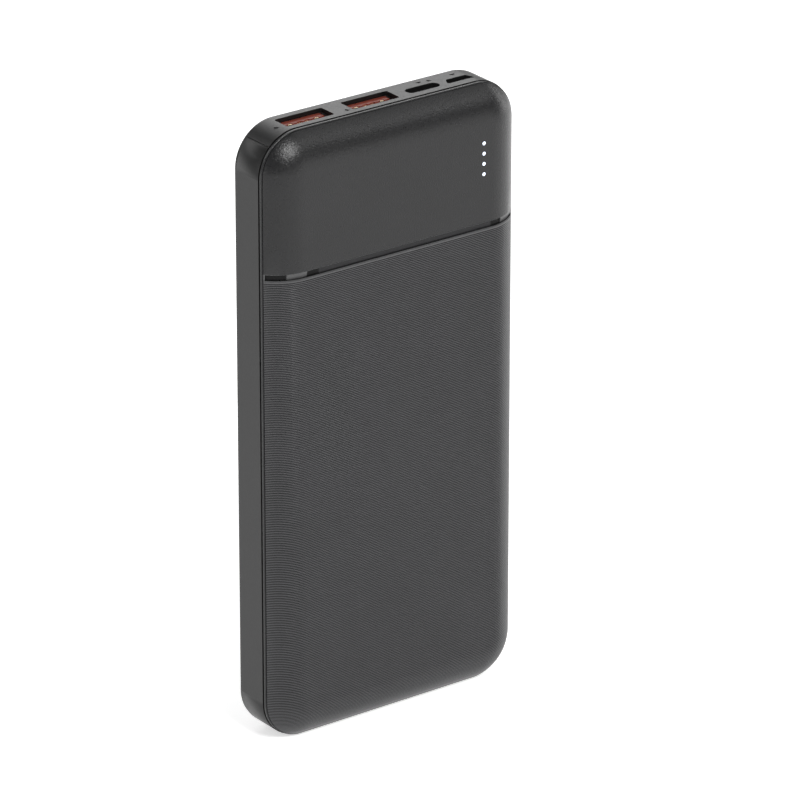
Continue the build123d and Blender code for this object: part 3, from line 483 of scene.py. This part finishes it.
SLOT_NODES = {
    "case_plastic": ("front_cover", "back_cover"),
    "band_plastic": ("side_frame", "port_panel"),
    "button_plastic": ("power_button",),
    "socket_orange": ("usb_a_tongue_1", "usb_a_tongue_2"),
    "black_plastic": ("switch_body", "switch_plunger", "lamp_shade", "usb_c_tongue", "micro_usb_tongue",
                      "controller_chip", "power_transistors", "protection_chips"),
    "steel": ("switch_dome", "usb_a_shell_1", "usb_a_shell_2", "usb_c_shell", "micro_usb_shell",
              "board_screws", "positive_tab", "negative_tab"),
    "contact_gold": ("usb_a_contacts_1", "usb_a_contacts_2", "usb_c_contacts", "micro_usb_contacts"),
    "board_mask": ("main_board", "protection_board"),
    "cell_foil": ("battery_cell",),
    "foam": ("front_pad", "back_pad"),
    "tape": ("insulating_tape",),
    "clear": ("light_guide",),
    "led_white": ("status_leds",),
    "red_rubber": ("red_lead",),
    "black_rubber": ("black_lead",),
    "ceramic": ("ceramic_capacitors",),
    "ferrite": ("power_inductor",),
    "can": ("bulk_capacitor",),
}

for slot, names in SLOT_NODES.items():
    for name in names:
        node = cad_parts[name]
        node.data.materials.clear()
        node.data.materials.append(MATERIALS[slot])

# Rounded edges on the band round the case.
BAND_WELD = 0.01 * MM
BAND_ROUNDING = 0.12 * MM
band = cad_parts["side_frame"]
weld = band.modifiers.new("weld", "WELD")
weld.merge_threshold = BAND_WELD
flatten = band.modifiers.new("flatten", "DECIMATE")
flatten.decimate_type = "DISSOLVE"
flatten.angle_limit = radians(1)
rounding = band.modifiers.new("rounding", "BEVEL")
rounding.width = BAND_ROUNDING
rounding.segments = 2
rounding.limit_method = "ANGLE"
rounding.angle_limit = radians(SHARP_ANGLE)
rounding.harden_normals = True


# ---------------------------------------------------------------- pieces

for cover_name, node_name, side in (("front_shell", "front_cover", -1), ("back_shell", "back_cover", 1)):
    cover = make_cover(cover_name, side, side == -1)
    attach(cover, "case")
    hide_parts(node_name)


# ---------------------------------------------------------------- floor, lights and camera

FLOOR_HALF_SIZE = 4000                         # millimetres
FLOOR_DROP = 0.2                               # millimetres below the object's base
FLOOR_GLOW = 0.53
WORLD_STRENGTH = 0.3
CAMERA_YAW = 36.57                             # degrees to the left of the front
CAMERA_PITCH = 23.16                           # degrees above the level
CAMERA_AIM = (6.8, 0, 71.32)                   # millimetres
CAMERA_DISTANCE = 1.4026
CAMERA_LENS = 284.8


def add_floor():
    """A plain pale floor."""
    bm = bmesh.new()
    bmesh.ops.create_grid(bm, x_segments=8, y_segments=8, size=FLOOR_HALF_SIZE)
    for vertex in bm.verts:
        vertex.co.z = -FLOOR_DROP
    material = make_material("floor_paper", (0.9, 0.9, 0.9), 0.85, 0.01, 300, 0.05)
    floor = mesh_object("floor", bm, [glowing(material, (1, 1, 1), FLOOR_GLOW)])


def add_light(name, azimuth, elevation, distance, width, height, power):
    """A soft box that looks at the middle of the object. Azimuth 0 is in front, 90 on the right."""
    data = bpy.data.lights.new(name, "AREA")
    data.shape = "RECTANGLE"
    data.size = width
    data.size_y = height
    data.energy = power
    light = bpy.data.objects.new(name, data)
    bpy.context.scene.collection.objects.link(light)
    a, e = radians(azimuth), radians(elevation)
    back = Vector((sin(a) * cos(e), -cos(a) * cos(e), sin(e)))
    light.location = Vector((0, 0, HEIGHT / 2 * MM)) + back * distance
    light.rotation_euler = (-back).to_track_quat("-Z", "Y").to_euler()


def add_world():
    """Even white light from all round."""
    world = bpy.data.worlds.new("studio")
    world.use_nodes = True
    background = world.node_tree.nodes["Background"]
    background.inputs["Color"].default_value = (1, 1, 1, 1)
    background.inputs["Strength"].default_value = WORLD_STRENGTH
    bpy.context.scene.world = world


def add_camera():
    """Camera that looks at the object from the left front and above."""
    data = bpy.data.cameras.new("camera")
    data.lens = CAMERA_LENS
    data.clip_start = 0.05
    data.clip_end = 20
    camera = bpy.data.objects.new("camera", data)
    bpy.context.scene.collection.objects.link(camera)
    a, e = radians(CAMERA_YAW), radians(CAMERA_PITCH)
    forward = Vector((sin(a) * cos(e), cos(a) * cos(e), -sin(e)))
    camera.location = Vector(CAMERA_AIM) * MM - forward * CAMERA_DISTANCE
    camera.rotation_euler = forward.to_track_quat("-Z", "Y").to_euler()
    bpy.context.scene.camera = camera


# Soft boxes: azimuth and elevation in degrees, distance, width and height in metres, and power in watts.
LIGHTS = {
    "left_strip": (-80, 5, 1.2, 0.22, 1.2, 3.5),
    "left_far_strip": (-100, 5, 1.2, 0.22, 1.2, 2.4),
    "front_box": (-3, 39, 1.3, 0.4, 0.4, 10.5),
    "right_front_box": (45, 34, 1.3, 0.25, 0.25, 1.0),
    "right_strip": (85, 5, 1.2, 0.25, 1.2, 3.8),
    "back_box": (150, 30, 1.5, 1.2, 0.6, 6.5),
    "left_back_box": (-150, 24, 1.5, 0.6, 0.6, 2.4),
    "high_box": (58, 50, 1.4, 0.7, 0.7, 1.6),
    "low_box": (28, 4, 1.3, 0.4, 0.2, 0.8),
}

add_floor()
add_world()
for light_name, settings in LIGHTS.items():
    add_light(light_name, *settings)
add_camera()
bpy.context.scene.view_settings.view_transform = "Standard"
